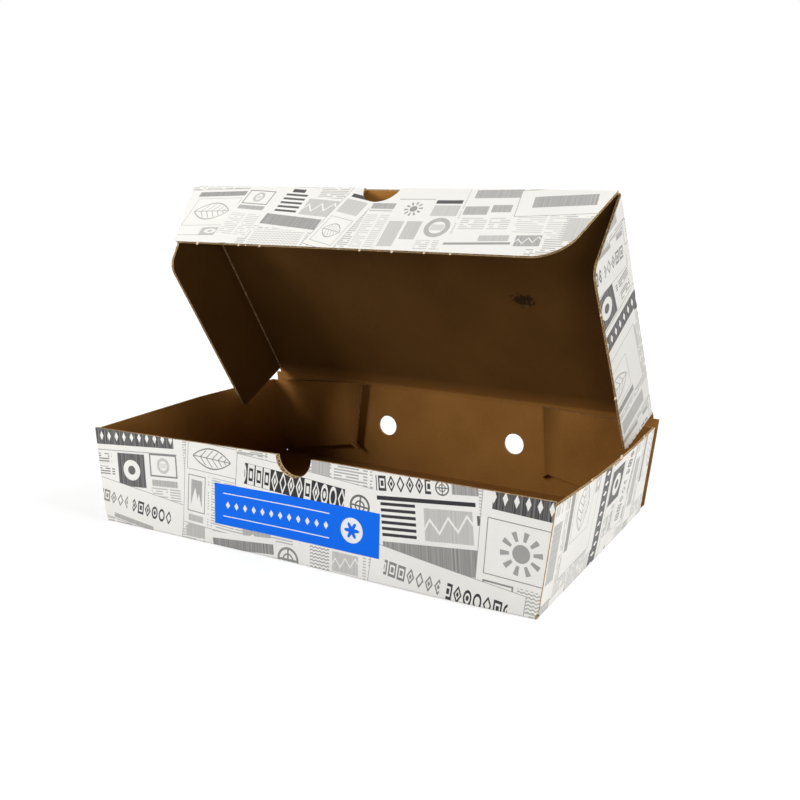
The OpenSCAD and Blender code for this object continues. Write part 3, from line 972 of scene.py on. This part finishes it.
def makeSideFlap(s, deep, name):
    t, p = lidShape, sheetPlan
    x0, x1 = p["flapX"] + board["bend"] / mm, p["flapX"] + deep
    front, rear = (math.tan(math.radians(t[k])) for k in ("frontSlant", "rearSlant"))
    y0, y1 = p["hingeY"] + t["flapFrom"], p["hingeY"] + t["flapTo"]
    tipFront, tipRear = y1 - deep * front, y0 + deep * rear
    span = sorted((s * x0, s * x1))
    obj = newSheet(name)
    addPanel(obj, *span, y0, y1,
             trims=[((s * p["flapX"], y1), (s * front, 1)), ((s * p["flapX"], y0), (s * rear, -1))],
             rounds=[((s * x1, tipFront), cornerReach(t["frontRound"], 90 + t["frontSlant"])),
                     ((s * x1, tipRear), cornerReach(t["rearRound"], 90 + t["rearSlant"]))])
    cutLines(obj, xs=[s * (x0 + k) for k in (12, 24, 36)], ys=t["grid"])
    layUv(obj)
    turn(obj, "Y", (s * p["flapX"], 0, 0), -s * p["flapFold"])
    raiseLid(obj)
    thicken(obj)
    pare(obj, "rightFlap" if s > 0 else "leftFlap", [(0, s * x0)], 1.2)
    if s > 0:
        addTufts(obj, "rightFlap")
    return obj


# The bent strip of board between two panels. spans are its stretches along the crease.
def makeCrease(name, panels, axis, at, spans, fold):
    bend = board["bend"] / mm
    obj = newSheet(name)
    for k0, k1 in spans:
        for j0, j1 in ((at - bend, at), (at, at + bend)):
            if axis == "X":
                addPanel(obj, k0, k1, j0, j1)
            else:
                addPanel(obj, j0, j1, k0, k1)
    cutLines(obj)
    layUv(obj)
    across = 1 if axis == "X" else 0
    centre = (0, at, 0) if axis == "X" else (at, 0, 0)
    side = -1 if at < 0 else 1
    turn(obj, axis, centre, fold, lambda v: side * v[across] > side * at + 0.01)
    pick(obj, "EDGE", lambda a, b: abs(a[across] - at) < 0.01 and abs(b[across] - at) < 0.01)
    bpy.ops.mesh.bevel(affect="EDGES", offset=(bend - 0.06) * mm, segments=board["bendSteps"])
    if panels[0] == "backWall":
        turn(obj, "X", (0, sheetPlan["foldY"], 0), sheetPlan["wallUp"])
        lift(obj)
    else:
        raiseLid(obj)
    thicken(obj)
    middle = sum(spans[0]) / 2
    ends = []
    for panel, k in zip(panels, (at - side * bend, at + side * bend)):
        ends.append(spotOn(panel, middle, k) if axis == "X" else spotOn(panel, k, middle))
    return obj, ends


lid = makeLid()
frontFlap = makeTuck()
leftFlap = makeSideFlap(-1, lidShape["leftDeep"], "leftFlapBoard")
rightFlap = makeSideFlap(1, lidShape["rightDeep"], "rightFlapBoard")
for piece, body, slot in ((lid, "lid", "lid_board"), (frontFlap, "front_flap", "flap_board"),
                          (leftFlap, "left_flap", "flap_board"), (rightFlap, "right_flap", "flap_board")):
    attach(piece, body)
    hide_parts(body)
    print(body, bounding(piece))

t, p, strips = lidShape, sheetPlan, []
edge = p["flapX"] - board["bend"] / mm
flapSpan = [(p["hingeY"] + t["flapFrom"], p["hingeY"] + t["flapTo"])]
for name, bodies, panels, axis, at, spans, fold in (
        ("hingeCrease", ("tray", "lid"), ("backWall", "lid"), "X", p["hingeY"],
         [(-t["tabX"], t["tabX"])], p["lidBack"]),
        ("frontCrease", ("lid", "front_flap"), ("lid", "frontFlap"), "X", p["tuckY"],
         [(-edge, -t["thumbRadius"]), (t["thumbRadius"], edge)], p["tuckFold"]),
        ("leftCrease", ("lid", "left_flap"), ("lid", "leftFlap"), "Y", -p["flapX"], flapSpan, p["flapFold"]),
        ("rightCrease", ("lid", "right_flap"), ("lid", "rightFlap"), "Y", p["flapX"], flapSpan,
         -p["flapFold"])):
    strip, ends = makeCrease(name, panels, axis, at, spans, fold)
    strips.append((strip, bodies, ends))

# Handling has set the lid a little askew, and the walls no longer stand quite straight.
bends = {
    "lidTwist": 0.66, "twistAt": 30, "lidLength": 172, "rightOut": 0.6,
    "wallTop": 60, "wallY": 91, "wallX": 150, "wallBow": 3.2, "cornerDrop": 3.0,
    "footBulge": 2.0, "bulgeAt": 85, "bulgeWide": 60,
}


def lidShift(x, y, z):
    b, p, lean = bends, sheetPlan, math.radians(sheetPlan["lidBack"])
    hingeZ = p["hingeY"] - p["foldY"] + board["half"] / mm
    along = ((p["foldY"] - y) * math.sin(lean) + (z - hingeZ) * math.cos(lean)) / b["lidLength"]
    out = b["rightOut"] * max(0, x) / b["wallX"] * min(1, max(0, z - 70) / 30)
    return out, 0, (x - b["twistAt"]) * math.sin(math.radians(b["lidTwist"])) * along


def trayShift(x, y, z):
    b, high = bends, z / bends["wallTop"]
    right = max(0, min(1, (x - 100) / 45))
    bow = b["wallBow"] * right * max(0, 1 - (y / b["wallY"]) ** 2) * high
    front = max(0, -y / b["wallY"])
    drop = b["cornerDrop"] * max(0, -x / b["wallX"]) * high * front
    bulge = b["footBulge"] * math.exp(-((x - b["bulgeAt"]) / b["bulgeWide"]) ** 2)
    return bow, -bulge * max(0, 1 - high) * front ** 3, -drop


pieces = [lid, frontFlap, leftFlap, rightFlap] + [strip for strip, _, _ in strips[1:]]
warp(pieces, (-160, -60, 40), (160, 100, 220), (3, 2, 7), lidShift)
warp([tray], (-155, -93, -1), (155, 93, 66), (63, 25, 5), trayShift)
for strip, bodies, ends in strips:
    if strip.name in ("leftCrease", "rightCrease"):
        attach(strip, "lid")  # a side flap turns so little that its crease can stay with the lid
    else:
        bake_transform(strip)
    print(strip.name, bounding(strip))
for piece in [tray, strips[0][0]] + pieces:
    smooth(piece)

# Pale floor and studio. The camera sees both white, and the floor keeps its soft shadow.
studio = {"floorGrey": 0.5, "glow": 0.6, "farGlow": 0.99, "catch": 0.5, "world": 0.02, "near": 0.35, "far": 1.1}


def seenAs(tree, output, other, seen):
    path = addNode(tree, "ShaderNodeLightPath").outputs
    looks = Value(path["Is Camera Ray"]) | path["Is Glossy Ray"] | path["Is Transmission Ray"]
    wire(addNode(tree, "ShaderNodeMixShader", looks, other, seen).outputs[0], output.inputs["Surface"])


selectNone()
bpy.ops.mesh.primitive_plane_add(size=12, location=(0, 0, 0))
floor = bpy.context.object
floor.name = "floor"
floorMaterial = bpy.data.materials.new("paleFloor")
floorMaterial.use_nodes = True
tree = floorMaterial.node_tree
tree.nodes.remove(tree.nodes["Principled BSDF"])
bounce = addNode(tree, "ShaderNodeBsdfDiffuse", (*[studio["floorGrey"]] * 3, 1)).outputs[0]
shadow = addNode(tree, "ShaderNodeBsdfDiffuse", (*[studio["catch"]] * 3, 1)).outputs[0]
spot = addNode(tree, "ShaderNodeTexCoord").outputs["Object"]
spread = ramp(tree, vector(tree, "LENGTH", spot), *(studio[k] for k in ("near", "far", "glow", "farGlow")))
glow = addNode(tree, "ShaderNodeEmission", (1, 1, 1, 1), spread).outputs[0]
seen = addNode(tree, "ShaderNodeAddShader", shadow, glow).outputs[0]
seenAs(tree, tree.nodes["Material Output"], bounce, seen)
floor.data.materials.append(floorMaterial)

world = bpy.data.worlds.new("studio")
bpy.context.scene.world = world
world.use_nodes = True
tree = world.node_tree
tree.nodes.remove(tree.nodes["Background"])
dim = addNode(tree, "ShaderNodeBackground", (1, 1, 1, 1), studio["world"]).outputs[0]
white = addNode(tree, "ShaderNodeBackground", (1, 1, 1, 1), 1.0).outputs[0]
seenAs(tree, tree.nodes["World Output"], dim, white)


# Where something stands that looks at target from around and rise, in degrees.
def standing(around, rise, target, distance, roll=0):
    a, b, c = (math.radians(v) for v in (around, 90 - rise, roll))
    made = Matrix.Rotation(a, 4, "Z") @ Matrix.Rotation(b, 4, "X") @ Matrix.Rotation(c, 4, "Z")
    made.translation = Vector(target) + made.col[2].to_3d() * distance
    return made


lamps = {  # degrees round from the front and up, size in metres, watts
    "key": (-48, 21, 0.7, 21),
    "fill": (38, 4, 0.36, 4.5),
    "right": (94, 34, 0.7, 17),
    "rear": (165, 45, 1.0, 12),
}
aim, away = (0, 0, 0.1), 1.5
for name, (around, rise, size, power) in lamps.items():
    bpy.ops.object.light_add(type="AREA")
    lamp = bpy.context.object
    lamp.name = name
    lamp.data.energy, lamp.data.size = power, size
    lamp.matrix_world = standing(around, rise, aim, away)
print("studio lit by", ", ".join(lamps))

view = {"azimuth": 25.041, "elevation": 7.689, "roll": 1.435, "distance": 0.552135,
        "target": (0.072578, 0, 0.133313), "lens": 41.838, "shiftX": -0.1125, "shiftY": -0.1}
bpy.ops.object.camera_add()
camera = bpy.context.object
camera.data.lens = view["lens"]
camera.data.sensor_width = 36
camera.data.shift_x, camera.data.shift_y = view["shiftX"], view["shiftY"]
camera.matrix_world = standing(*(view[k] for k in ("azimuth", "elevation", "target", "distance", "roll")))
bpy.context.scene.camera = camera
bpy.context.scene.view_settings.view_transform = "Standard"
